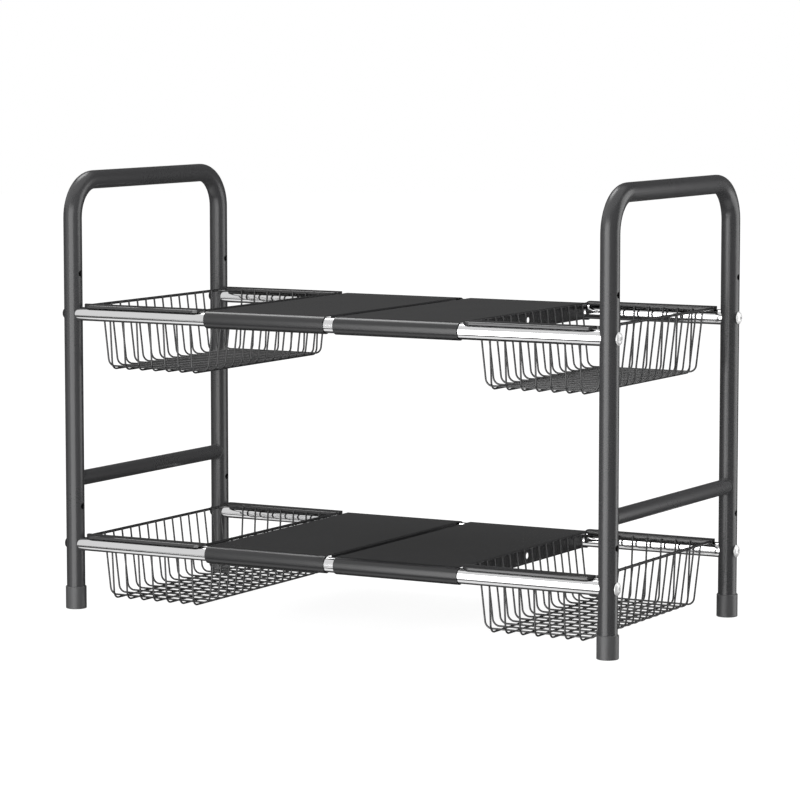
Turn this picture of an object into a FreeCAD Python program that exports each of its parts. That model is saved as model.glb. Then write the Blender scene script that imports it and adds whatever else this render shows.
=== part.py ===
"""Two-tier expandable under sink organizer: tube end frames, telescoping rods, sheet panels, wire baskets.

Millimetres. The origin is on the floor, midway between the four legs. +X is to the right, along the
rods, +Y to the back and +Z up.
"""
import FreeCAD
import Part
import Sketcher
import math
import os
import re

SIZES = {
    # end frames
    "leg_span_y": 235.6,         # between the front and back leg axes of a hoop
    "hoop_height": 371.2,        # axis of the hoop's top run
    "hoop_bend": 32.0,           # bend radius of the hoop's axis
    "leg_od": 16.0,
    "leg_wall": 1.0,
    "crossbar_od": 13.0,
    "crossbar_wall": 1.0,
    "crossbar_height": 112.8,
    "weld_gap": 0.02,            # between a coped end and the leg that it is welded to
    # feet
    "foot_wall": 1.01,
    "foot_height": 19.5,
    "foot_floor": 3.0,
    "foot_edge": 0.6,
    "foot_fit": 0.04,
    # rods
    "tier_rise": 200.0,
    "rod_od": 13.0,
    "rod_wall": 0.5,
    "rod_slide_gap": 0.1,
    "inner_rod_wall": 0.6,
    "rod_overlap": 163.8,        # of an inner rod in its outer rod
    "plug_stem": 12.0,
    "plug_collar": 2.0,
    "press_gap": 0.02,
    # bolts, inserts and leg holes
    "bolt_od": 5.0,
    "bolt_length": 30.0,
    "left_bolt_head_od": 8.4,
    "left_bolt_head_height": 1.2,
    "left_bolt_head_flat": 4.4,
    "right_bolt_head_od": 10.8,
    "right_bolt_head_height": 2.2,
    "right_bolt_head_flat": 5.0,
    "bolt_head_rim": 0.5,
    "bolt_seat_gap": 0.02,
    "socket_flats": 3.0,
    "socket_depth": 1.7,
    "leg_hole_gap": 0.25,
    "thread_gap": 0.03,
    "insert_length": 14.0,
    "insert_inset": 2.0,
    "spare_rise_low": 32.7,      # spare hole above the lower rod
    "spare_rise_high": 34.6,     # spare hole above the upper rod
    # panels
    "panel_width": 116.0,
    "panel_gap": 9.8,            # between the two panels of a tier
    "left_panel_gap": 4.85,      # between a left panel and its basket
    "right_panel_gap": 1.75,
    "panel_sheet": 0.7,
    "panel_rod_gap": 0.3,
    "panel_bend": 1.4,
    "panel_wrap": 205.0,         # degrees of rod that a rolled edge goes round
    "flange_drop": 13.8,
    "flange_relief": 1.2,
    "flange_hole_od": 5.5,
    "flange_hole_offset": 3.0,   # of the hole behind the flange's middle
    # baskets
    "basket_leg_gap": 3.3,
    "basket_floor_gap": 8.3,     # under the lower left basket
    "channel_length": 120.6,
    "channel_width": 13.7,
    "channel_overhang": 2.2,     # of the channel's inner edge beyond the rod
    "channel_seat_gap": 0.3,
    "channel_web": 2.65,         # thickness at the middle
    "channel_camber": 1.2,       # how far the channel's top rises to its middle
    "channel_lip": 0.7,          # how far the lips go below the underside
    "channel_lip_wall": 1.3,
    "channel_bend": 1.2,
    "channel_corner": 8.0,
    "rim_od": 2.5,
    "rim_inset": 0.1,            # from the channel's end to the rim wire
    "rim_drop": 0.75,            # from the top of the channel's lip to the rim wire's axis
    "rim_gap": 0.02,
    "wire_od": 1.6,
    "wire_gap": 0.02,
    "wire_bend": 6.5,
    "wire_lap": 0.9,             # of a wire's top on the channel's lip
    "wire_rim_lap": 0.6,         # of a wire's top above the rim wire's axis
    "wire_inset": 9.85,          # from a wall's foot to the nearest wire along it
    "cross_wire_count": 7,
    "cross_lean": 3.9,           # how far the front and back walls lean in, down to the bottom
    "long_wire_count": 15,
    "long_lean": 6.4,            # how far the side walls lean in
    "basket_drop": 53.7,         # from the rod's top to the axis of the lowest wires
}

# sizes that follow from the ones above
ROD_R = "(rod_od / 2)"
ROD_BORE_R = "(rod_od / 2 - rod_wall)"
INNER_R = "(rod_od / 2 - rod_wall - rod_slide_gap)"
INNER_BORE_R = "(rod_od / 2 - rod_wall - rod_slide_gap - inner_rod_wall)"
LEG_R = "(leg_od / 2)"
BASKET_SPAN = f"({LEG_R} + basket_leg_gap + channel_length)"
LEG_X = f"({BASKET_SPAN} + panel_width + (left_panel_gap + right_panel_gap + panel_gap) / 2)"
LEG_Y = "(leg_span_y / 2)"
LEG_HOLE_R = "(bolt_od / 2 + leg_hole_gap)"
FOOT_R = f"({LEG_R} + foot_fit + foot_wall)"
BOLT_SEAT_X = f"({LEG_X} + {LEG_R} + bolt_seat_gap)"
TIER_LOW = f"(basket_floor_gap + wire_od / 2 + basket_drop - {INNER_R})"
TIER_HIGH = f"({TIER_LOW} + tier_rise)"
WRAP_IN_R = "(rod_od / 2 + panel_rod_gap)"
WRAP_OUT_R = "(rod_od / 2 + panel_rod_gap + panel_sheet)"
FLANGE_HALF = f"({LEG_Y} - {WRAP_OUT_R} - flange_relief)"
CHANNEL_HALF = "(channel_width / 2)"
CHANNEL_TOP = "(channel_seat_gap + channel_web)"
CHANNEL_EDGE_Z = f"({CHANNEL_TOP} - channel_camber)"
CHANNEL_LIP_Z = "(channel_seat_gap - channel_lip)"
CROWN_R = f"(({CHANNEL_HALF} ^ 2 + channel_camber ^ 2) / (2 * channel_camber))"
LIP_FACE_Y = f"({LEG_Y} - rod_od / 2 - channel_overhang)"
CHANNEL_Y = f"({LIP_FACE_Y} + {CHANNEL_HALF})"
RIM_X = "(channel_length / 2 - rim_inset - rim_od / 2)"
RIM_Z = f"({CHANNEL_EDGE_Z} - rim_drop)"
CROSS_TOP_Y = f"({LIP_FACE_Y} - wire_od / 2 - wire_gap)"
CROSS_FOOT_Y = f"({CROSS_TOP_Y} - cross_lean)"
LONG_TOP_X = f"({RIM_X} - rim_od / 2 - wire_od / 2 - wire_gap)"
LONG_FOOT_X = f"({LONG_TOP_X} - long_lean)"

SIDES = {"left": "-", "right": ""}
ENDS = {"front": "-", "back": ""}
TIERS = {"lower": TIER_LOW, "upper": TIER_HIGH}

doc = FreeCAD.newDocument("organizer")
sheet = doc.addObject("Spreadsheet::Sheet", "sizes")
nodes = {}


def fill_sheet():
    """One row per driving size: its name, and its value under that name."""
    for row, (alias, value) in enumerate(SIZES.items(), start=1):
        sheet.set(f"A{row}", alias)
        sheet.set(f"B{row}", str(value))
        sheet.setAlias(f"B{row}", alias)
    doc.recompute()


def tied(text):
    """The expression with every size's name pointed at the sheet."""
    names = "|".join(SIZES)
    return re.sub(rf"\b({names})\b", r"sizes.\1", text)


def num(text):
    """The value of an expression, for what is drawn in code."""
    return float(sheet.evalExpression(tied(text)))


def bind(obj, prop, text):
    obj.setExpression(prop, tied(text))


def place(obj, x="0", y="0", z="0"):
    for axis, text in zip("xyz", (x, y, z)):
        bind(obj, "Placement.Base." + axis, text)
    return obj


def node(name, obj):
    """Gives a finished sub-part the name that its file takes."""
    obj.Label = name
    nodes[name] = obj


def turn_to(direction):
    return FreeCAD.Rotation(FreeCAD.Vector(0, 0, 1), FreeCAD.Vector(*direction))


def cylinder(name, radius, height, direction=(0, 0, 1), x="0", y="0", z="0"):
    obj = doc.addObject("Part::Cylinder", name)
    bind(obj, "Radius", radius)
    bind(obj, "Height", height)
    obj.Placement.Rotation = turn_to(direction)
    return place(obj, x, y, z)


def fuse(name, shapes):
    obj = doc.addObject("Part::MultiFuse", name)
    obj.Shapes = shapes
    return obj


def cut(name, base, tool):
    obj = doc.addObject("Part::Cut", name)
    obj.Base = base
    obj.Tool = tool
    return obj


def group(name, members):
    obj = doc.addObject("Part::Compound", name)
    obj.Links = members
    return obj


def new_sketch(body, name, role, lift="0"):
    """A sketch on one of the body's own planes, or lifted off it along its normal."""
    plane = next(f for f in body.Origin.OriginFeatures if f.Role == role)
    sketch = body.newObject("Sketcher::SketchObject", name)
    sketch.AttachmentSupport = (plane, "")
    sketch.MapMode = "FlatFace"
    bind(sketch, "AttachmentOffset.Base.z", lift)
    return sketch


def size_constraint(sketch, text, *args):
    index = sketch.addConstraint(Sketcher.Constraint(*args, num(text)))
    bind(sketch, f"Constraints[{index}]", text)


def pin_point(sketch, geo, end, x, y):
    """Ties one point of a sketch to the sketch's axes."""
    for kind, text, axis in (("DistanceX", x, -2), ("DistanceY", y, -1)):
        if text == "0":
            sketch.addConstraint(Sketcher.Constraint("PointOnObject", geo, end, axis))
        else:
            size_constraint(sketch, text, kind, -1, 1, geo, end)


def arc_of(a, b, radius, left):
    """The arc of under half a turn from a to b, which turns left or right."""
    chord = b - a
    rise = math.sqrt(radius ** 2 - (chord.Length / 2) ** 2)
    normal = FreeCAD.Vector(-chord.y, chord.x, 0).normalize()
    centre = (a + b) * 0.5 + normal * (rise if left else -rise)
    first, last = (a - centre, b - centre) if left else (b - centre, a - centre)
    full = Part.Circle(centre, FreeCAD.Vector(0, 0, 1), radius)
    return Part.ArcOfCircle(full, math.atan2(first.y, first.x), math.atan2(last.y, last.x))


def outline(sketch, corners, closed=True):
    """Lines through the corners. A corner may add a turn and a radius: it is then reached by an arc."""
    points = [FreeCAD.Vector(num(c[0]), num(c[1]), 0) for c in corners]
    ends = []
    for i in range(0 if closed else 1, len(corners)):
        x, y, *bow = corners[i]
        if bow:
            turn, radius = bow
            geo = sketch.addGeometry(arc_of(points[i - 1], points[i], num(radius), turn == "left"))
            size_constraint(sketch, radius, "Radius", geo)
            ends.append((geo, 1, 2) if turn == "left" else (geo, 2, 1))
        else:
            geo = sketch.addGeometry(Part.LineSegment(points[i - 1], points[i]))
            ends.append((geo, 1, 2))
        pin_point(sketch, geo, ends[-1][2], x, y)
    for before, after in zip(ends, ends[1:]):
        sketch.addConstraint(Sketcher.Constraint("Coincident", before[0], before[2], after[0], after[1]))
    first, last = ends[0], ends[-1]
    if closed:
        sketch.addConstraint(Sketcher.Constraint("Coincident", last[0], last[2], first[0], first[1]))
    else:
        pin_point(sketch, first[0], first[1], *corners[0])


def ring(sketch, x, y, radius):
    full = Part.Circle(FreeCAD.Vector(num(x), num(y), 0), FreeCAD.Vector(0, 0, 1), num(radius))
    geo = sketch.addGeometry(full)
    size_constraint(sketch, radius, "Radius", geo)
    pin_point(sketch, geo, 3, x, y)


def feature(body, kind, name, sketch):
    obj = body.newObject("PartDesign::" + kind, name)
    obj.Profile = sketch
    sketch.Visibility = False
    return obj


def pad_both_ways(body, name, sketch, length):
    pad = feature(body, "Pad", name, sketch)
    pad.SideType = "Symmetric"
    bind(pad, "Length", length)


def pocket_right_through(body, name, sketch):
    pocket = feature(body, "Pocket", name, sketch)
    pocket.Type = "ThroughAll"
    pocket.SideType = "Symmetric"


def revolve(body, name, sketch):
    obj = feature(body, "Revolution", name, sketch)
    obj.ReferenceAxis = (sketch, ["V_Axis"])
    obj.Angle = 360.0


def side_hoop(side):
    """One bent tube: front leg, handle-like top and back leg, with the bolt and spare holes."""
    name = side + "_side_hoop"
    body = doc.addObject("PartDesign::Body", name)
    path = new_sketch(body, name + "_path", "YZ_Plane")
    bend_y = f"({LEG_Y} - hoop_bend)"
    bend_z = "(hoop_height - hoop_bend)"
    outline(path, [
        ("-" + LEG_Y, "foot_floor"),
        ("-" + LEG_Y, bend_z),
        ("-" + bend_y, "hoop_height", "right", "hoop_bend"),
        (bend_y, "hoop_height"),
        (LEG_Y, bend_z, "right", "hoop_bend"),
        (LEG_Y, "foot_floor"),
    ], closed=False)
    section = new_sketch(body, name + "_section", "XY_Plane", "foot_floor")
    ring(section, "0", "-" + LEG_Y, LEG_R)
    ring(section, "0", "-" + LEG_Y, f"({LEG_R} - leg_wall)")
    doc.recompute()
    tube = feature(body, "AdditivePipe", name + "_tube", section)
    tube.Spine = (path, [f"Edge{i + 1}" for i in range(len(path.Shape.Edges))])
    path.Visibility = False
    holes = new_sketch(body, name + "_holes", "YZ_Plane")
    spares = (f"({TIER_LOW} + spare_rise_low)", f"({TIER_HIGH} + spare_rise_high)")
    for height in (*TIERS.values(), *spares):
        for sign in ENDS.values():
            ring(holes, sign + LEG_Y, height, LEG_HOLE_R)
    pocket_right_through(body, name + "_drilling", holes)
    place(body, x=SIDES[side] + LEG_X)
    node(name, body)


def tube_between(name, radius, bore, start, length, direction):
    outer = cylinder(name + "_outside", radius, length, direction, **start)
    inner = cylinder(name + "_bore", bore, length, direction, **start)
    return cut(name + "_stock", outer, inner)


def leg_tool(name, x="0", y="0"):
    """The leg's outside, for coping a tube's end to it."""
    return cylinder(name, f"({LEG_R} + weld_gap)", "hoop_height", x=x, y=y, z="-hoop_height / 2")


def crossbar(side):
    """Tube between the two legs of a hoop, coped to both."""
    name = side + "_crossbar"
    bar = tube_between(name, "(crossbar_od / 2)", "(crossbar_od / 2 - crossbar_wall)",
                       {"y": "-" + LEG_Y}, "leg_span_y", (0, 1, 0))
    legs = [leg_tool(f"{name}_{end}_leg", y=sign + LEG_Y) for end, sign in ENDS.items()]
    coped = cut(name, bar, fuse(name + "_legs", legs))
    node(name, place(coped, x=SIDES[side] + LEG_X, z="crossbar_height"))


def foot(side, end):
    """Push-on cup with a floor under the tube's end."""
    name = f"{end}_{side}_foot"
    body = doc.addObject("PartDesign::Body", name)
    shape = new_sketch(body, name + "_section", "XZ_Plane")
    inner = f"({LEG_R} + foot_fit)"
    outline(shape, [
        ("0", "0"),
        (f"({FOOT_R} - foot_edge)", "0"),
        (FOOT_R, "foot_edge", "left", "foot_edge"),
        (FOOT_R, "(foot_height - foot_edge)"),
        (f"({FOOT_R} - foot_edge)", "foot_height", "left", "foot_edge"),
        (inner, "foot_height"),
        (inner, "foot_floor"),
        ("0", "foot_floor"),
    ])
    revolve(body, name + "_cup", shape)
    place(body, x=SIDES[side] + LEG_X, y=ENDS[end] + LEG_Y)
    node(name, body)


def rods(tier, end):
    """An outer rod on the right leg and the inner rod on the left leg that slides in it."""
    where = {"y": ENDS[end] + LEG_Y, "z": TIERS[tier]}
    length = f"({LEG_X} + rod_overlap / 2)"
    outer = f"{tier}_{end}_outer_rod"
    stock = tube_between(outer, ROD_R, ROD_BORE_R, {"x": "-rod_overlap / 2"}, length, (1, 0, 0))
    node(outer, place(cut(outer, stock, leg_tool(outer + "_leg", x=LEG_X)), **where))
    inner = f"{tier}_{end}_inner_rod"
    stock = tube_between(inner, INNER_R, INNER_BORE_R, {"x": "-" + LEG_X}, length, (1, 0, 0))
    node(inner, place(cut(inner, stock, leg_tool(inner + "_leg", x="-" + LEG_X)), **where))


def at_every_rod(name, make, x="0"):
    """A group of four like pieces, one for each rod."""
    pieces = []
    for tier, height in TIERS.items():
        for end, sign in ENDS.items():
            pieces.append(place(make(f"{name}_{tier}_{end}"), x=x, y=sign + LEG_Y, z=height))
    node(name, group(name, pieces))


def glide_plug(name):
    """Plug in the free end of an inner rod."""
    tip = "(rod_overlap / 2)"
    stem_r = f"({INNER_BORE_R} - press_gap)"
    stem = cylinder(name + "_stem", stem_r, "plug_stem", (1, 0, 0), x=f"{tip} - plug_stem")
    collar = cylinder(name + "_collar", INNER_R, "plug_collar", (1, 0, 0), x=tip)
    return fuse(name, [stem, collar])


def rod_insert(side, bore):
    """Maker of the threaded slug in a rod's end."""
    near = f"({LEG_X} - {LEG_R} - insert_inset - insert_length)"
    start = near if side == "right" else f"(-{near} - insert_length)"

    def make(name):
        return tube_between(name, f"({bore} - press_gap)", "(bolt_od / 2 + thread_gap)",
                            {"x": start}, "insert_length", (1, 0, 0))
    return make


def rod_bolt(side):
    """Maker of the button-head bolt through a leg, with the seat of its head at height 0."""
    def make(name):
        body = doc.addObject("PartDesign::Body", name)
        shape = new_sketch(body, name + "_section", "XZ_Plane")
        head, height = f"({side}_bolt_head_od / 2)", f"{side}_bolt_head_height"
        outline(shape, [
            ("0", "-bolt_length"),
            ("(bolt_od / 2)", "-bolt_length"),
            ("(bolt_od / 2)", "0"),
            (head, "0"),
            (head, "bolt_head_rim"),
            (f"({side}_bolt_head_flat / 2)", height, "left", head),
            ("0", height),
        ])
        revolve(body, name + "_turned", shape)
        hexagon = new_sketch(body, name + "_hexagon", "XY_Plane", height)
        corner, step, flat = "(socket_flats / sqrt(3))", "(socket_flats / sqrt(12))", "(socket_flats / 2)"
        outline(hexagon, [
            (corner, "0"), (step, flat), ("-" + step, flat),
            ("-" + corner, "0"), ("-" + step, "-" + flat), (step, "-" + flat),
        ])
        socket = feature(body, "Pocket", name + "_socket", hexagon)
        bind(socket, "Length", "socket_depth")
        body.Placement.Rotation = turn_to((1 if side == "right" else -1, 0, 0))
        return body
    return make


def panel(tier, side):
    """Sheet-metal shelf: turned-down ends, and front and back edges rolled round the rods."""
    name = f"{tier}_{side}_panel"
    body = doc.addObject("PartDesign::Body", name)
    half = "(panel_width / 2)"
    flat = f"({half} - panel_bend)"
    under = f"({half} - panel_sheet)"
    top, below = WRAP_OUT_R, WRAP_IN_R
    foot_z = f"({top} - flange_drop)"
    bend_z = f"({top} - panel_bend)"
    inner_bend = "(panel_bend - panel_sheet)"
    tray = new_sketch(body, name + "_tray_section", "XZ_Plane")
    outline(tray, [
        ("-" + half, foot_z),
        ("-" + half, bend_z),
        ("-" + flat, top, "right", "panel_bend"),
        (flat, top),
        (half, bend_z, "right", "panel_bend"),
        (half, foot_z),
        (under, foot_z),
        (under, bend_z),
        (flat, below, "left", inner_bend),
        ("-" + flat, below),
        ("-" + under, bend_z, "left", inner_bend),
        ("-" + under, foot_z),
    ])
    pad_both_ways(body, name + "_tray", tray, f"(2 * {FLANGE_HALF})")
    rolls = new_sketch(body, name + "_roll_section", "YZ_Plane")
    halfway = "sin(panel_wrap * 0.5 deg)", "cos(panel_wrap * 0.5 deg)"
    tip = "sin(panel_wrap * 1 deg)", "cos(panel_wrap * 1 deg)"

    def on_roll(sign, radius, way):
        return f"{sign}({LEG_Y} + {radius} * {way[0]})", f"({radius} * {way[1]})"
    for sign, turn, back in (("", "right", "left"), ("-", "left", "right")):
        outline(rolls, [
            (sign + FLANGE_HALF, top),
            (sign + LEG_Y, top),
            (*on_roll(sign, top, halfway), turn, top),
            (*on_roll(sign, top, tip), turn, top),
            on_roll(sign, below, tip),
            (*on_roll(sign, below, halfway), back, below),
            (sign + LEG_Y, below, back, below),
            (sign + FLANGE_HALF, below),
        ])
    pad_both_ways(body, name + "_rolls", rolls, "panel_width")
    hole = new_sketch(body, name + "_hole", "YZ_Plane")
    ring(hole, "flange_hole_offset", f"({top} - flange_drop / 2)", "(flange_hole_od / 2)")
    pocket_right_through(body, name + "_drilling", hole)
    away = f"({LEG_X} - {BASKET_SPAN} - {side}_panel_gap - panel_width / 2)"
    place(body, x=SIDES[side] + away, z=TIERS[tier])
    node(name, body)


def hook_channel(name, out):
    """Crowned strip on a rod, with a lip on either side and round corners on the side that faces out."""
    body = doc.addObject("PartDesign::Body", name)
    shape = new_sketch(body, name + "_section", "YZ_Plane")
    wide, narrow = CHANNEL_HALF, f"({CHANNEL_HALF} - channel_lip_wall)"
    crown_z = f"({CHANNEL_TOP} - {CROWN_R})"
    bend_y = f"({CHANNEL_HALF} - channel_bend)"
    bend_rise = f"sqrt(({CROWN_R} - channel_bend) ^ 2 - {bend_y} ^ 2)"
    bend_z = f"({crown_z} + {bend_rise})"
    reach = f"({CROWN_R} / ({CROWN_R} - channel_bend))"
    top_y, top_z = f"({bend_y} * {reach})", f"({crown_z} + {bend_rise} * {reach})"
    outline(shape, [
        ("-" + wide, CHANNEL_LIP_Z),
        ("-" + wide, bend_z),
        ("-" + top_y, top_z, "right", "channel_bend"),
        (top_y, top_z, "right", CROWN_R),
        (wide, bend_z, "right", "channel_bend"),
        (wide, CHANNEL_LIP_Z),
        (narrow, CHANNEL_LIP_Z),
        (narrow, "channel_seat_gap"),
        ("-" + narrow, "channel_seat_gap"),
        ("-" + narrow, CHANNEL_LIP_Z),
    ])
    pad_both_ways(body, name + "_strip", shape, "channel_length")
    corners = new_sketch(body, name + "_corners", "XY_Plane")
    half = "(channel_length / 2)"
    for sign in SIDES.values():
        turn = "right" if sign == out else "left"
        outline(corners, [
            (sign + half, out + wide),
            (f"{sign}({half} - channel_corner)", out + wide),
            (sign + half, f"{out}({wide} - channel_corner)", turn, "channel_corner"),
        ])
    pocket_right_through(body, name + "_rounding", corners)
    return body


def u_wire(to_point, top_half, bottom_half, top, bottom):
    """One wire bent to a U with leaning walls. to_point turns (across, up) into a place."""
    bend = num("wire_bend")
    lean = math.atan2(top_half - bottom_half, top - bottom)
    reach = bend * math.tan((math.pi / 2 - lean) / 2)

    def on_bend(angle):
        return bottom_half - reach + bend * math.cos(angle), bottom + bend - bend * math.sin(angle)
    right = [(top_half, top), on_bend(lean), on_bend((lean + math.pi / 2) / 2), on_bend(math.pi / 2)]
    left = [(-x, z) for x, z in right]
    p = [to_point(*xz) for xz in left + right[::-1]]
    path = Part.Wire([
        Part.LineSegment(p[0], p[1]).toShape(),
        Part.Arc(p[1], p[2], p[3]).toShape(),
        Part.LineSegment(p[3], p[4]).toShape(),
        Part.Arc(p[4], p[5], p[6]).toShape(),
        Part.LineSegment(p[6], p[7]).toShape(),
    ])
    section = Part.Wire(Part.Circle(p[0], p[1] - p[0], num("wire_od / 2")).toShape())
    return path.makePipeShell([section], True, False)


def spread(count, half):
    """Places of evenly spaced wires, from one side of the middle to the other."""
    number, reach = round(num(count)), num(half)
    return [reach * (2 * i / (number - 1) - 1) for i in range(number)]


def cross_wire_set():
    """The wires from front to back, whose tops lie on the channels' inner lips."""
    top_half, bottom_half = num(CROSS_TOP_Y), num(CROSS_FOOT_Y)
    top, bottom = num(f"{CHANNEL_LIP_Z} + wire_lap"), num("-basket_drop")
    return [u_wire(lambda across, up, x=x: FreeCAD.Vector(x, across, up), top_half, bottom_half, top, bottom)
            for x in spread("cross_wire_count", f"{LONG_FOOT_X} - wire_inset")]


def long_wire_set():
    """The wires from left to right, inside the rim wires and on top of the wires from front to back."""
    top_half, bottom_half = num(LONG_TOP_X), num(LONG_FOOT_X)
    top, bottom = num(f"{RIM_Z} + wire_rim_lap"), num("-basket_drop + wire_od + wire_gap")
    return [u_wire(lambda across, up, y=y: FreeCAD.Vector(across, y, up), top_half, bottom_half, top, bottom)
            for y in spread("long_wire_count", f"{CROSS_FOOT_Y} - wire_inset")]


def basket(tier, side):
    """One hanging wire basket, drawn about its own middle with the rods' tops at height 0."""
    name = f"{tier}_{side}_basket"
    rod_top = INNER_R if side == "left" else ROD_R
    middle = f"({LEG_X} - {BASKET_SPAN} + channel_length / 2)"
    where = {"x": SIDES[side] + middle, "z": f"{TIERS[tier]} + {rod_top}"}
    channels = []
    for end, sign in ENDS.items():
        channels.append(place(hook_channel(f"{name}_{end}_channel", sign), y=sign + CHANNEL_Y))
    node(name + "_channels", place(group(name + "_channels", channels), **where))
    rims = []
    rim_half = f"({LIP_FACE_Y} - rim_gap)"
    for rim_side, sign in SIDES.items():
        rims.append(cylinder(f"{name}_{rim_side}_rim", "(rim_od / 2)", f"(2 * {rim_half})", (0, 1, 0),
                             x=sign + RIM_X, y="-" + rim_half, z=RIM_Z))
    node(name + "_rims", place(group(name + "_rims", rims), **where))
    for kind, wires in (("cross", cross_wire_set()), ("long", long_wire_set())):
        wire_set = doc.addObject("Part::Feature", f"{name}_{kind}_wires")
        wire_set.Shape = Part.makeCompound(wires)
        node(f"{name}_{kind}_wires", place(wire_set, **where))


def build():
    fill_sheet()
    for side in SIDES:
        side_hoop(side)
        crossbar(side)
        for end in ENDS:
            foot(side, end)
    for tier in TIERS:
        for end in ENDS:
            rods(tier, end)
    at_every_rod("inner_rod_glide_plugs", glide_plug)
    for side, bore in (("left", INNER_BORE_R), ("right", ROD_BORE_R)):
        at_every_rod(side + "_rod_inserts", rod_insert(side, bore))
        at_every_rod(side + "_rod_bolts", rod_bolt(side), x=SIDES[side] + BOLT_SEAT_X)
    for tier in TIERS:
        for side in SIDES:
            panel(tier, side)
            basket(tier, side)
    doc.recompute()


def check():
    for obj in doc.Objects:
        if "Invalid" in obj.State or "Error" in obj.State:
            raise RuntimeError(f"{obj.Label} failed: {obj.State}")
    for name, obj in nodes.items():
        if obj.Shape.isNull() or not obj.Shape.isValid() or not obj.Shape.Solids:
            raise RuntimeError(f"{name} has no valid shape")


def write():
    os.makedirs("parts", exist_ok=True)
    for name, obj in nodes.items():
        obj.Shape.exportStep(f"parts/{name}.step")


build()
check()
write()
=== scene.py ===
"""Dresses the under sink organizer: powder coat, chrome, moulded feet, weld beads and a white studio."""
import math
from typing import NamedTuple

import bmesh
import bpy
from bpy.props import FloatProperty, FloatVectorProperty, IntProperty, PointerProperty
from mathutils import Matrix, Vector


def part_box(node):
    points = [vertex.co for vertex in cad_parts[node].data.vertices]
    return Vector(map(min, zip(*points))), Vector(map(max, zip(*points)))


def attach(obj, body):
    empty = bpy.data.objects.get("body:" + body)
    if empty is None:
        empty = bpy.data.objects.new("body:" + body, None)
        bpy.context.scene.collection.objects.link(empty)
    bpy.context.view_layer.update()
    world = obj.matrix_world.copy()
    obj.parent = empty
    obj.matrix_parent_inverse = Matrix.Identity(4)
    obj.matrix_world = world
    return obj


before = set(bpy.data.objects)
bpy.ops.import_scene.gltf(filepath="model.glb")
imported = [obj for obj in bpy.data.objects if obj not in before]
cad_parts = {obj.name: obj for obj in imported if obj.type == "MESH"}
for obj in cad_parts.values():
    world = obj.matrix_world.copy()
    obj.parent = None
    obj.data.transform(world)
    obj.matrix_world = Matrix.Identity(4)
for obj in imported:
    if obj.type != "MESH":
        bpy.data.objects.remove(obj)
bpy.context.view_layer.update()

bl_info = {
    "name": "Under sink organizer",
    "version": (1, 0, 0),
    "blender": (4, 5, 0),
    "location": "View3D > Sidebar > Organizer",
    "description": "Finishes the organizer's frames, rods, panels and baskets and sets up its studio",
    "category": "Object",
}

SIDES = ("left", "right")
ENDS = ("front", "back")
TIERS = ("lower", "upper")
BASKETS = [f"{tier}_{side}_basket" for tier in TIERS for side in SIDES]


class Coat(NamedTuple):
    """How a powder coat takes the light."""
    roughness: float
    ior: float


FRAME_COAT = Coat(0.28, 1.5)
PANEL_COAT = Coat(0.25, 1.5)
CHANNEL_COAT = Coat(0.15, 1.55)
WIRE_COAT = Coat(0.24, 1.65)


class Plating(NamedTuple):
    """How a plated surface takes the light, and the scale of its hair lines along X, Y and Z."""
    roughness: float
    metallic: float
    hair_scale: tuple


ROD_CHROME = Plating(0.06, 1.0, (0.03, 1.0, 1.0))
BOLT_SATIN = Plating(0.3, 0.25, (1.0, 1.0, 1.0))

FOOT_ROUGHNESS = 0.34
PLUG_ROUGHNESS = 0.4

BEAD_SIDES = 10             # points round a bead's section
BEAD_RIPPLE_STEPS = 3       # points along a bead from one ripple to the next
SPOT_SEGMENTS = 8
SPOT_RINGS = 6
SPOT_FLATNESS = 0.55        # height of a weld spot, as a share of its width
LIP_SPOT_LENGTH = 1.4       # length of a spot on a lip, as a share of its width

FLOOR_SIDES = 96
FLOOR_DROP = 0.0002         # keeps the floor just below the feet
FLOOR_WHITE = 0.93          # what the camera sees of the floor in full shadow
FLOOR_SHADOW = 0.2          # what the light adds to that
FLOOR_BOUNCE = 0.45         # grey of the floor in the light that it throws back

SENSOR_WIDTH = 36.0
VIEW_END = 50.0


class Field(NamedTuple):
    """A part of the studio that only gloss sees: its turns from the front and its heights, in degrees."""
    turns: tuple
    heights: tuple
    level: float
    edge: float


ALL_ROUND = (-200.0, 200.0)
DARK_WALL = 0.07
FIELDS = (
    Field((-55.0, -5.0), (-18.0, 52.0), 0.7, 3.0),          # pale wall on the left
    Field((-112.0, -55.0), (12.0, 52.0), 0.7, 3.0),         # its far end
    Field((-180.0, -118.0), (-10.0, 6.5), 0.06, 3.0),       # foot of the backdrop
    Field(ALL_ROUND, (52.0, 100.0), 0.75, 3.0),             # ceiling
    Field((-95.0, -41.5), (-100.0, -43.0), 0.85, 2.0),      # table before the part, on the left
    Field((-41.5, 95.0), (-100.0, -50.0), 0.85, 2.0),       # table before the part, on the right
    Field((-36.8, 40.0), (-33.0, -22.0), 1.1, 1.0),         # foot of the soft box in front
)


def colour_property(name, description, default):
    return FloatVectorProperty(name=name, description=description, subtype="COLOR",
                               size=3, min=0.0, max=1.0, default=default)


def length_property(name, description, default):
    return FloatProperty(name=name, description=description, subtype="DISTANCE",
                         unit="LENGTH", min=0.0, default=default, precision=5)


def place_property(name, description, default):
    return FloatVectorProperty(name=name, description=description, subtype="TRANSLATION",
                               unit="LENGTH", size=3, default=default)


def angle_property(name, description, degrees):
    return FloatProperty(name=name, description=description, subtype="ANGLE",
                         unit="ROTATION", default=math.radians(degrees))


def level_property(name, description, default):
    return FloatProperty(name=name, description=description, min=0.0, default=default)


def count_property(name, description, default, least):
    return IntProperty(name=name, description=description, min=least, default=default)


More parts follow.
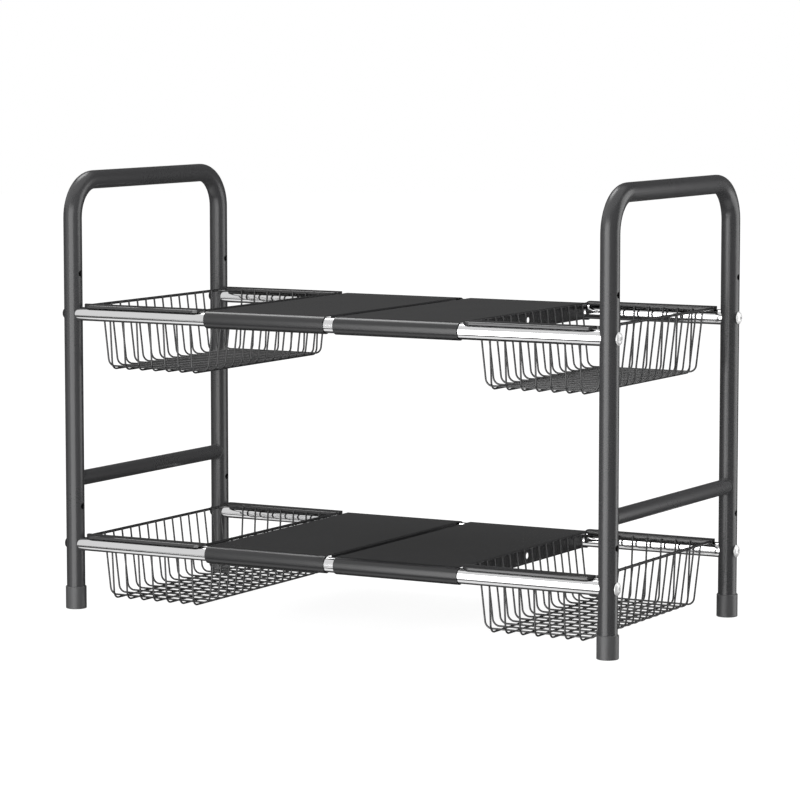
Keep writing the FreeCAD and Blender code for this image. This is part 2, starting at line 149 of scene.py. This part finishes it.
class OrganizerFinishes(bpy.types.PropertyGroup):
    """Colours of the coats, plating and plastic."""
    frame_colour: colour_property("Frame coat", "Powder coat of the hoops, crossbars and left bolts",
                                  (0.055, 0.055, 0.057))
    panel_colour: colour_property("Panel coat", "Powder coat of the sheet panels", (0.027, 0.027, 0.028))
    channel_colour: colour_property("Channel coat", "Powder coat of the baskets' channels",
                                    (0.043, 0.043, 0.044))
    wire_colour: colour_property("Wire coat", "Powder coat of the basket wires", (0.03, 0.03, 0.031))
    chrome_colour: colour_property("Chrome", "Plating of the rods", (0.82, 0.82, 0.825))
    bolt_colour: colour_property("Bolt plating", "Plating of the right bolts", (0.9, 0.9, 0.9))
    foot_colour: colour_property("Foot plastic", "Moulded plastic of the feet", (0.09, 0.09, 0.092))
    plug_colour: colour_property("Plug plastic", "Moulded plastic of the rods' end plugs", (0.03, 0.03, 0.03))
    insert_colour: colour_property("Insert steel", "Turned steel of the threaded inserts", (0.5, 0.5, 0.51))
    peel: length_property("Orange peel", "Width of the powder coat's ripples", 0.0011)


class OrganizerWelds(bpy.types.PropertyGroup):
    """Sizes of the weld beads and spots."""
    bead: length_property("Bead", "Radius of the bead round a crossbar's end", 0.0009)
    bead_steps: count_property("Bead steps", "Points along a crossbar's bead", 60, least=24)
    ripple: FloatProperty(name="Ripple", description="How much the bead swells at each of its ripples",
                          subtype="FACTOR", min=0.0, max=1.0, default=0.16)
    spot: length_property("Spot", "Radius of a weld spot between two wires", 0.00075)
    cross_wires: count_property("Cross wires", "Wires from front to back in a basket", 7, least=2)
    long_wires: count_property("Long wires", "Wires from left to right in a basket", 15, least=2)
    lap: length_property("Lap", "How far a wire's top lies on its channel's lip", 0.0009)


class OrganizerStudio(bpy.types.PropertyGroup):
    """Camera, light and floor."""
    camera_place: place_property("Camera place", "Where the camera stands", (1.43784, -2.57995, 0.49461))
    camera_turn: angle_property("Camera turn", "Turn of the view to the left of straight back", 29.12)
    camera_tilt: angle_property("Camera tilt", "How far the view looks down", 6.003)
    lens: FloatProperty(name="Lens", description="Focal length on a 36 mm sensor", default=155.65)
    floor_radius: length_property("Floor radius", "Radius of the round floor", 8.0)
    softbox_level: level_property("Soft box", "Brightness of the soft box in front", 3.5)
    softbox_place: place_property("Soft box place", "Middle of the soft box in front", (0.005, -1.1, 0.19))
    softbox_width: length_property("Soft box width", "Width of the soft box in front", 1.07)
    softbox_height: length_property("Soft box height", "Height of the soft box in front", 1.22)
    overhead_level: level_property("Overhead light", "Brightness of the light above, behind on the left", 4.4)
    overhead_place: place_property("Overhead place", "Middle of the overhead light", (-1.2, 0.75, 2.2))
    overhead_size: length_property("Overhead size", "Width and depth of the overhead light", 1.0)
    rim_level: level_property("Rim light", "Brightness of the soft box behind, on the right", 2.5)
    rim_place: place_property("Rim place", "Middle of the soft box behind, on the right", (0.885, 0.575, 0.3))
    rim_width: length_property("Rim width", "Width of the soft box behind", 0.85)
    rim_height: length_property("Rim height", "Height of the soft box behind", 1.2)
    fill: level_property("Fill", "Light from all round, at the level of the floor", 0.23)
    sky: level_property("Sky", "How much brighter the fill is straight above", 0.5)


class Socket:
    """A node's output that takes part in Python expressions on values."""

    def __init__(self, graph, output):
        self.graph = graph
        self.output = output

    def math(self, operation, first, second):
        return self.graph.add("ShaderNodeMath", {"operation": operation}, {0: first, 1: second})

    def __add__(self, other):
        return self.math("ADD", self, other)

    def __radd__(self, other):
        return self.math("ADD", other, self)

    def __sub__(self, other):
        return self.math("SUBTRACT", self, other)

    def __rsub__(self, other):
        return self.math("SUBTRACT", other, self)

    def __mul__(self, other):
        return self.math("MULTIPLY", self, other)

    def __rmul__(self, other):
        return self.math("MULTIPLY", other, self)

    def __neg__(self):
        return self * -1.0


class Graph:
    """The nodes of a material or of the world."""

    def __init__(self, owner):
        owner.use_nodes = True
        self.tree = owner.node_tree
        self.tree.nodes.clear()

    def add(self, kind, settings=None, sockets=None, out=0):
        """Adds a node, sets it up, feeds its sockets and gives the asked output."""
        node = self.tree.nodes.new(kind)
        for name, value in (settings or {}).items():
            setattr(node, name, value)
        for key, value in (sockets or {}).items():
            if isinstance(value, Socket):
                self.tree.links.new(value.output, node.inputs[key])
            else:
                node.inputs[key].default_value = value
        return Socket(self, node.outputs[out]) if node.outputs else None

    def place(self):
        """Object coordinates, which are metres in the part's own frame."""
        return self.add("ShaderNodeTexCoord", out="Object")

    def noise(self, vector, size, detail, roughness=0.5):
        """Noise whose blobs are about that many metres across."""
        sockets = {"Vector": vector, "Scale": 1.0 / size, "Detail": detail, "Roughness": roughness}
        return self.add("ShaderNodeTexNoise", None, sockets)

    def stretched(self, vector, scale):
        return self.add("ShaderNodeMapping", {"vector_type": "POINT"}, {"Vector": vector, "Scale": scale})

    def times(self, colour, factor):
        """A colour made lighter or darker by a varying factor."""
        settings = {"operation": "SCALE"}
        return self.add("ShaderNodeVectorMath", settings, {0: colour, "Scale": factor})

    def ramp(self, value, low, high, start=0.0, end=1.0):
        """A smooth rise from start to end as the value goes from low to high."""
        settings = {"interpolation_type": "SMOOTHSTEP"}
        sockets = {"Value": value, "From Min": low, "From Max": high, "To Min": start, "To Max": end}
        return self.add("ShaderNodeMapRange", settings, sockets)

    def window(self, value, low, high, soft):
        """1 between low and high, and 0 outside, with soft edges."""
        rise = self.ramp(value, low - soft, low + soft)
        fall = self.ramp(value, high - soft, high + soft, 1.0, 0.0)
        return rise * fall

    def bump(self, height, depth, strength):
        sockets = {"Strength": strength, "Distance": depth, "Height": height}
        return self.add("ShaderNodeBump", None, sockets)


def new_material(name):
    material = bpy.data.materials.new(name)
    return material, Graph(material)


def surface(graph, sockets):
    shader = graph.add("ShaderNodeBsdfPrincipled", None, sockets)
    graph.add("ShaderNodeOutputMaterial", None, {"Surface": shader})


def grey(level):
    return (level, level, level, 1.0)


def powder_coat(name, colour, coat, peel):
    """Baked powder coat: a fine orange peel, faint clouds of shade and a little unevenness in its gloss."""
    cloud_size, grain_size, peel_depth = 0.06, 0.0004, 0.00004
    material, graph = new_material(name)
    place = graph.place()
    ripple = graph.noise(place, peel, detail=2.0, roughness=0.45)
    cloud = graph.noise(place, cloud_size, detail=3.0, roughness=0.55)
    grain = graph.noise(place, grain_size, detail=1.0)
    shade = 0.93 + cloud * 0.1 + grain * 0.04
    gloss = coat.roughness - 0.05 + cloud * 0.06 + ripple * 0.04
    surface(graph, {
        "Base Color": graph.times(tuple(colour), shade),
        "Roughness": gloss,
        "IOR": coat.ior,
        "Normal": graph.bump(ripple, peel_depth, strength=0.35),
    })
    return material


def plated(name, colour, plating):
    """Plated steel: hair lines from drawing the tube or turning the head, and faint smudges in the polish."""
    hair_size, smudge_size, hair_depth = 0.0006, 0.03, 0.000004
    material, graph = new_material(name)
    place = graph.place()
    hair = graph.noise(graph.stretched(place, plating.hair_scale), hair_size, detail=3.0, roughness=0.6)
    smudge = graph.noise(place, smudge_size, detail=3.0)
    surface(graph, {
        "Base Color": graph.times(tuple(colour), 0.97 + smudge * 0.06),
        "Metallic": plating.metallic,
        "Roughness": plating.roughness + smudge * 0.04 + hair * 0.03,
        "Normal": graph.bump(hair, hair_depth, strength=0.3),
    })
    return material


def moulded_plastic(name, colour, roughness):
    """Moulded plastic with the fine spark-eroded grain of its tool."""
    grain_size, flow_size, grain_depth = 0.0005, 0.012, 0.00005
    flow_scale = (1.0, 1.0, 0.3)
    material, graph = new_material(name)
    place = graph.place()
    grain = graph.noise(place, grain_size, detail=3.0, roughness=0.6)
    flow = graph.noise(graph.stretched(place, flow_scale), flow_size, detail=2.0)
    surface(graph, {
        "Base Color": graph.times(tuple(colour), 0.92 + flow * 0.12 + grain * 0.04),
        "Roughness": roughness + grain * 0.12,
        "Normal": graph.bump(grain, grain_depth, strength=0.4),
    })
    return material


def turned_steel(name, colour):
    """Steel with the fine rings that a lathe leaves."""
    ring_size, ring_depth = 0.0003, 0.00001
    ring_scale = (1.0, 0.02, 0.02)
    material, graph = new_material(name)
    rings = graph.noise(graph.stretched(graph.place(), ring_scale), ring_size, detail=2.0)
    surface(graph, {
        "Base Color": graph.times(tuple(colour), 0.9 + rings * 0.2),
        "Metallic": 1.0,
        "Roughness": 0.25 + rings * 0.15,
        "Normal": graph.bump(rings, ring_depth, strength=0.5),
    })
    return material


def finish_nodes(material, names):
    """Gives CAD nodes their finish."""
    for name in names:
        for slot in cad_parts[name].material_slots:
            slot.material = material


def deselect():
    bpy.ops.object.select_all(action="DESELECT")


def started(name):
    """The object that was just added, copied or joined, under its own name."""
    piece = bpy.context.active_object
    piece.name = name
    piece.data.name = name
    return piece


def place_in_mesh():
    bpy.ops.object.transform_apply(location=True, rotation=True, scale=True)


def copy_at(piece, name, offset, half_turn=False):
    """A copy with a mesh of its own, moved and perhaps turned round."""
    deselect()
    piece.select_set(True)
    bpy.context.view_layer.objects.active = piece
    bpy.ops.object.duplicate(linked=False)
    copy = started(name)
    copy.rotation_euler.z = math.pi if half_turn else 0.0
    copy.location = offset
    place_in_mesh()
    return copy


def select_vertices(piece, test):
    """Selects, in edit mode, the vertices whose place passes the test."""
    mesh = bmesh.from_edit_mesh(piece.data)
    for vertex in mesh.verts:
        vertex.select = test(vertex.co)
    mesh.select_flush_mode()
    bmesh.update_edit_mesh(piece.data)


class ORGANIZER_OT_frames(bpy.types.Operator):
    """Powder coat the hoops, crossbars and left bolts, and run a weld bead round each crossbar's ends"""
    bl_idname = "organizer.frames"
    bl_label = "Frames"

    def execute(self, context):
        finishes = context.scene.organizer_finishes
        coat = powder_coat("frame_powder_coat", finishes.frame_colour, FRAME_COAT, finishes.peel)
        finish_nodes(coat, [f"{side}_side_hoop" for side in SIDES])
        finish_nodes(coat, [f"{side}_crossbar" for side in SIDES])
        finish_nodes(coat, ["left_rod_bolts"])
        self.beads(context.scene.organizer_welds, coat)
        return {"FINISHED"}

    def beads(self, welds, coat):
        pattern = self.bead(welds, coat)
        for side in SIDES:
            low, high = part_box(f"{side}_crossbar")
            foot_low, foot_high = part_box(f"front_{side}_foot")
            middle = (low + high) / 2
            reach = abs((foot_low.y + foot_high.y) / 2)
            for end, sign in zip(ENDS, (-1.0, 1.0)):
                offset = Vector((middle.x, sign * reach, middle.z))
                piece = copy_at(pattern, f"{side}_{end}_crossbar_bead", offset, half_turn=sign > 0)
                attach(piece, f"{side}_frame")
        bpy.data.objects.remove(pattern)

    def bead(self, welds, coat):
        """A bead that follows the saddle where a crossbar meets the leg in front of it."""
        low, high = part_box("left_crossbar")
        hoop_low, hoop_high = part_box("left_side_hoop")
        bar = (high.z - low.z) / 2
        leg = (hoop_high.x - hoop_low.x) / 2
        quarter_step = math.pi * bar / welds.bead_steps / 2
        deselect()
        bpy.ops.mesh.primitive_torus_add(
            major_segments=welds.bead_steps, minor_segments=BEAD_SIDES,
            major_radius=bar, minor_radius=welds.bead, rotation=(math.pi / 2, 0.0, 0.0))
        piece = started("crossbar_bead")
        place_in_mesh()
        bpy.ops.object.mode_set(mode="EDIT")
        for step in range(welds.bead_steps):
            angle = 2 * math.pi * step / welds.bead_steps
            centre = Vector((bar * math.cos(angle), 0.0, bar * math.sin(angle)))
            along = Vector((-math.sin(angle), 0.0, math.cos(angle)))
            select_vertices(piece, lambda co: abs((co - centre).dot(along)) < quarter_step
                            and (co - centre).length < 2 * welds.bead)
            swell = 1.0 + welds.ripple * math.cos(angle * welds.bead_steps / BEAD_RIPPLE_STEPS)
            bpy.ops.transform.resize(value=(swell, swell, swell), center_override=centre)
            saddle = math.sqrt(leg ** 2 - centre.x ** 2)
            bpy.ops.transform.translate(value=(0.0, saddle, 0.0))
        bpy.ops.object.mode_set(mode="OBJECT")
        bpy.ops.object.shade_smooth()
        piece.data.materials.append(coat)
        return piece


class ORGANIZER_OT_rods(bpy.types.Operator):
    """Chrome the telescoping rods, plate the right bolts and finish the plugs and inserts inside the rods"""
    bl_idname = "organizer.rods"
    bl_label = "Rods and bolts"

    def execute(self, context):
        finishes = context.scene.organizer_finishes
        chrome = plated("rod_chrome", finishes.chrome_colour, ROD_CHROME)
        finish_nodes(chrome, [f"{tier}_{end}_{kind}_rod" for tier in TIERS for end in ENDS
                              for kind in ("inner", "outer")])
        satin = plated("bolt_plating", finishes.bolt_colour, BOLT_SATIN)
        finish_nodes(satin, ["right_rod_bolts"])
        steel = turned_steel("insert_steel", finishes.insert_colour)
        finish_nodes(steel, [f"{side}_rod_inserts" for side in SIDES])
        plastic = moulded_plastic("plug_plastic", finishes.plug_colour, PLUG_ROUGHNESS)
        finish_nodes(plastic, ["inner_rod_glide_plugs"])
        return {"FINISHED"}


class ORGANIZER_OT_feet(bpy.types.Operator):
    """Give the feet their moulded plastic"""
    bl_idname = "organizer.feet"
    bl_label = "Feet"

    def execute(self, context):
        finishes = context.scene.organizer_finishes
        plastic = moulded_plastic("foot_plastic", finishes.foot_colour, FOOT_ROUGHNESS)
        finish_nodes(plastic, [f"{end}_{side}_foot" for end in ENDS for side in SIDES])
        return {"FINISHED"}


class ORGANIZER_OT_panels(bpy.types.Operator):
    """Powder coat the sheet panels"""
    bl_idname = "organizer.panels"
    bl_label = "Panels"

    def execute(self, context):
        finishes = context.scene.organizer_finishes
        coat = powder_coat("panel_powder_coat", finishes.panel_colour, PANEL_COAT, finishes.peel)
        finish_nodes(coat, [f"{tier}_{side}_panel" for tier in TIERS for side in SIDES])
        return {"FINISHED"}


class ORGANIZER_OT_baskets(bpy.types.Operator):
    """Powder coat the baskets' channels and wires, and set a weld spot at each joint of the wires"""
    bl_idname = "organizer.baskets"
    bl_label = "Baskets"

    def execute(self, context):
        finishes = context.scene.organizer_finishes
        strip = powder_coat("channel_powder_coat", finishes.channel_colour, CHANNEL_COAT, finishes.peel)
        wire = powder_coat("wire_powder_coat", finishes.wire_colour, WIRE_COAT, finishes.peel)
        for basket in BASKETS:
            finish_nodes(strip, [f"{basket}_channels"])
            finish_nodes(wire, [f"{basket}_{kind}" for kind in ("rims", "cross_wires", "long_wires")])
        self.weld_spots(context.scene.organizer_welds, wire)
        return {"FINISHED"}

    def weld_spots(self, welds, coat):
        """The spots of one basket, and a copy of them for each of the others."""
        first, *others = BASKETS
        pattern = self.basket_spots(first, welds, coat)
        for basket in others:
            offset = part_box(f"{basket}_rims")[0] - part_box(f"{first}_rims")[0]
            self.attach(copy_at(pattern, f"{basket}_weld_spots", offset), basket)
        self.attach(pattern, first)

    def attach(self, piece, basket):
        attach(piece, basket)

    def basket_spots(self, basket, welds, coat):
        """Spots where the wires cross, where they meet the rims and where they lie on the channels' lips."""
        cross_low, cross_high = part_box(f"{basket}_cross_wires")
        long_low, long_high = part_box(f"{basket}_long_wires")
        rim_low, rim_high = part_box(f"{basket}_rims")
        lip_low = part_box(f"{basket}_channels")[0]
        upper_set = max(cross_low.z, long_low.z)
        wire = upper_set - min(cross_low.z, long_low.z)
        rim = rim_high.z - rim_low.z
        first = Vector((cross_low.x + wire / 2, long_low.y + wire / 2, 0.0))
        last = Vector((cross_high.x - wire / 2, long_high.y - wire / 2, 0.0))
        across = (welds.cross_wires, (last.x - first.x) / (welds.cross_wires - 1))
        back = (welds.long_wires, (last.y - first.y) / (welds.long_wires - 1))
        side_to_side = (2, rim_high.x - rim_low.x - 2 * rim)
        lip_to_lip = (2, rim_high.y - rim_low.y)
        crossing = Vector((first.x, first.y, upper_set))
        on_rim = Vector((rim_low.x + rim, first.y, rim_high.z - rim / 2))
        on_lip = Vector((first.x, rim_low.y, lip_low.z + welds.lap / 2))
        lip_shape = (1.0, SPOT_FLATNESS, LIP_SPOT_LENGTH)
        spots = [
            self.spot_grid("crossing", crossing, (1.0, 1.0, SPOT_FLATNESS), across, back, welds),
            self.spot_grid("rim", on_rim, (SPOT_FLATNESS, 1.0, 1.0), side_to_side, back, welds),
            self.spot_grid("lip", on_lip, lip_shape, across, lip_to_lip, welds),
        ]
        deselect()
        for piece in spots:
            piece.select_set(True)
        bpy.context.view_layer.objects.active = spots[0]
        bpy.ops.object.join()
        piece = started(f"{basket}_weld_spots")
        piece.data.materials.append(coat)
        return piece

    def spot_grid(self, name, place, shape, columns, rows, welds):
        """A flattened spot at the first joint, repeated along both directions."""
        deselect()
        bpy.ops.mesh.primitive_uv_sphere_add(
            segments=SPOT_SEGMENTS, ring_count=SPOT_RINGS, radius=welds.spot, location=place)
        piece = started(f"{name}_spots")
        place_in_mesh()
        bpy.ops.object.mode_set(mode="EDIT")
        bpy.ops.mesh.select_all(action="SELECT")
        bpy.ops.transform.resize(value=shape, center_override=place)
        bpy.ops.object.mode_set(mode="OBJECT")
        bpy.ops.object.shade_smooth()
        for axis, (count, step) in enumerate((columns, rows)):
            repeat = piece.modifiers.new("repeat", "ARRAY")
            repeat.count = count
            repeat.use_relative_offset = False
            repeat.use_constant_offset = True
            repeat.constant_offset_displace = [step if i == axis else 0.0 for i in range(3)]
            bpy.ops.object.modifier_apply(modifier=repeat.name)
        return piece


class ORGANIZER_OT_studio(bpy.types.Operator):
    """Set up the white floor, the soft lights, what the gloss reflects and the camera"""
    bl_idname = "organizer.studio"
    bl_label = "Studio"

    def execute(self, context):
        studio = context.scene.organizer_studio
        context.scene.view_settings.view_transform = "Standard"
        self.floor(studio)
        self.surroundings(context.scene, studio)
        front = Vector(studio.softbox_place)
        self.light("soft_box", studio.softbox_level, front, Vector((front.x, 0.0, front.z)),
                   (studio.softbox_width, studio.softbox_height))
        self.light("overhead_light", studio.overhead_level, Vector(studio.overhead_place), Vector(),
                   (studio.overhead_size, studio.overhead_size))
        behind = Vector(studio.rim_place)
        self.light("rim_light", studio.rim_level, behind, Vector((0.0, behind.y, behind.z)),
                   (studio.rim_width, studio.rim_height))
        self.camera(context.scene, studio)
        return {"FINISHED"}

    def floor(self, studio):
        """A round white floor. The camera sees it as white, with a faint shadow under the part."""
        deselect()
        bpy.ops.mesh.primitive_circle_add(vertices=FLOOR_SIDES, radius=studio.floor_radius,
                                          fill_type="NGON", location=(0.0, 0.0, -FLOOR_DROP))
        piece = started("studio_floor")
        place_in_mesh()
        material, graph = new_material("studio_floor_white")
        seen = graph.add("ShaderNodeLightPath", out="Is Camera Ray")
        white = graph.add("ShaderNodeEmission", None, {"Color": grey(1.0), "Strength": FLOOR_WHITE})
        shadow = graph.add("ShaderNodeBsdfDiffuse", None, {"Color": grey(FLOOR_SHADOW)})
        lit = graph.add("ShaderNodeAddShader", None, {0: white, 1: shadow})
        plain = graph.add("ShaderNodeBsdfDiffuse", None, {"Color": grey(FLOOR_BOUNCE)})
        mixed = graph.add("ShaderNodeMixShader", None, {0: seen, 1: plain, 2: lit})
        graph.add("ShaderNodeOutputMaterial", None, {"Surface": mixed})
        piece.data.materials.append(material)
        piece.visible_glossy = False

    def surroundings(self, scene, studio):
        """White to the eye, an even fill for the shade, and pale fields and dark walls for the gloss."""
        world = bpy.data.worlds.new("studio")
        scene.world = world
        graph = Graph(world)
        eye = graph.add("ShaderNodeLightPath", out="Is Camera Ray")
        path = eye.output.node.outputs
        glossy = Socket(graph, path["Is Glossy Ray"])
        clear = Socket(graph, path["Is Transmission Ray"])
        seen = eye + clear
        direction = graph.add("ShaderNodeTexCoord", out="Generated")
        split = graph.add("ShaderNodeSeparateXYZ", None, {0: direction})
        x, y, z = (Socket(graph, output) for output in split.output.node.outputs)
        fill = studio.fill + studio.sky * z.math("MAXIMUM", z, 0.0)
        level = seen + glossy * self.reflected(graph, x, y, z) + (1.0 - seen - glossy) * fill
        shader = graph.add("ShaderNodeBackground", None, {"Color": grey(1.0), "Strength": level})
        graph.add("ShaderNodeOutputWorld", None, {"Surface": shader})

    def reflected(self, graph, x, y, z):
        """Brightness of the studio as gloss sees it, by compass turn from the front and by height."""
        turn = x.math("ARCTAN2", x, -y) * math.degrees(1.0)
        height = z.math("ARCSINE", z, 0.0) * math.degrees(1.0)
        level = DARK_WALL
        for field in FIELDS:
            across = graph.window(turn, *field.turns, field.edge)
            level = level + across * graph.window(height, *field.heights, field.edge) * field.level
        return level

    def light(self, name, level, place, target, size):
        """A soft box of that brightness, which faces its target."""
        deselect()
        bpy.ops.object.light_add(type="AREA", location=place)
        lamp = bpy.context.active_object
        lamp.name = name
        lamp.data.shape = "RECTANGLE"
        lamp.data.size, lamp.data.size_y = size
        lamp.data.energy = level * math.pi * size[0] * size[1]
        lamp.rotation_euler = (target - place).to_track_quat("-Z", "Y").to_euler()
        lamp.visible_camera = False

    def camera(self, scene, studio):
        bpy.ops.object.camera_add(location=studio.camera_place,
                                  rotation=(math.pi / 2 - studio.camera_tilt, 0.0, studio.camera_turn))
        scene.camera = bpy.context.active_object
        scene.camera.data.lens = studio.lens
        scene.camera.data.sensor_width = SENSOR_WIDTH
        scene.camera.data.clip_end = VIEW_END


class ORGANIZER_PT_sidebar(bpy.types.Panel):
    """The organizer's settings and the steps that finish it"""
    bl_idname = "ORGANIZER_PT_sidebar"
    bl_label = "Under sink organizer"
    bl_space_type = "VIEW_3D"
    bl_region_type = "UI"
    bl_category = "Organizer"

    def draw(self, context):
        for step in STEPS:
            self.layout.operator(step.bl_idname)
        for name in GROUPS:
            group = getattr(context.scene, name)
            box = self.layout.box()
            for setting in group.__annotations__:
                box.prop(group, setting)


GROUPS = {
    "organizer_finishes": OrganizerFinishes,
    "organizer_welds": OrganizerWelds,
    "organizer_studio": OrganizerStudio,
}
STEPS = (ORGANIZER_OT_frames, ORGANIZER_OT_rods, ORGANIZER_OT_feet, ORGANIZER_OT_panels,
         ORGANIZER_OT_baskets, ORGANIZER_OT_studio)


def register():
    for name, group in GROUPS.items():
        bpy.utils.register_class(group)
        setattr(bpy.types.Scene, name, PointerProperty(type=group))
    for step in STEPS:
        bpy.utils.register_class(step)
    bpy.utils.register_class(ORGANIZER_PT_sidebar)


def unregister():
    bpy.utils.unregister_class(ORGANIZER_PT_sidebar)
    for step in reversed(STEPS):
        bpy.utils.unregister_class(step)
    for name, group in reversed(GROUPS.items()):
        delattr(bpy.types.Scene, name)
        bpy.utils.unregister_class(group)


def main():
    register()
    bpy.ops.organizer.frames()
    bpy.ops.organizer.rods()
    bpy.ops.organizer.feet()
    bpy.ops.organizer.panels()
    bpy.ops.organizer.baskets()
    bpy.ops.organizer.studio()


if __name__ == "__main__":
    main()
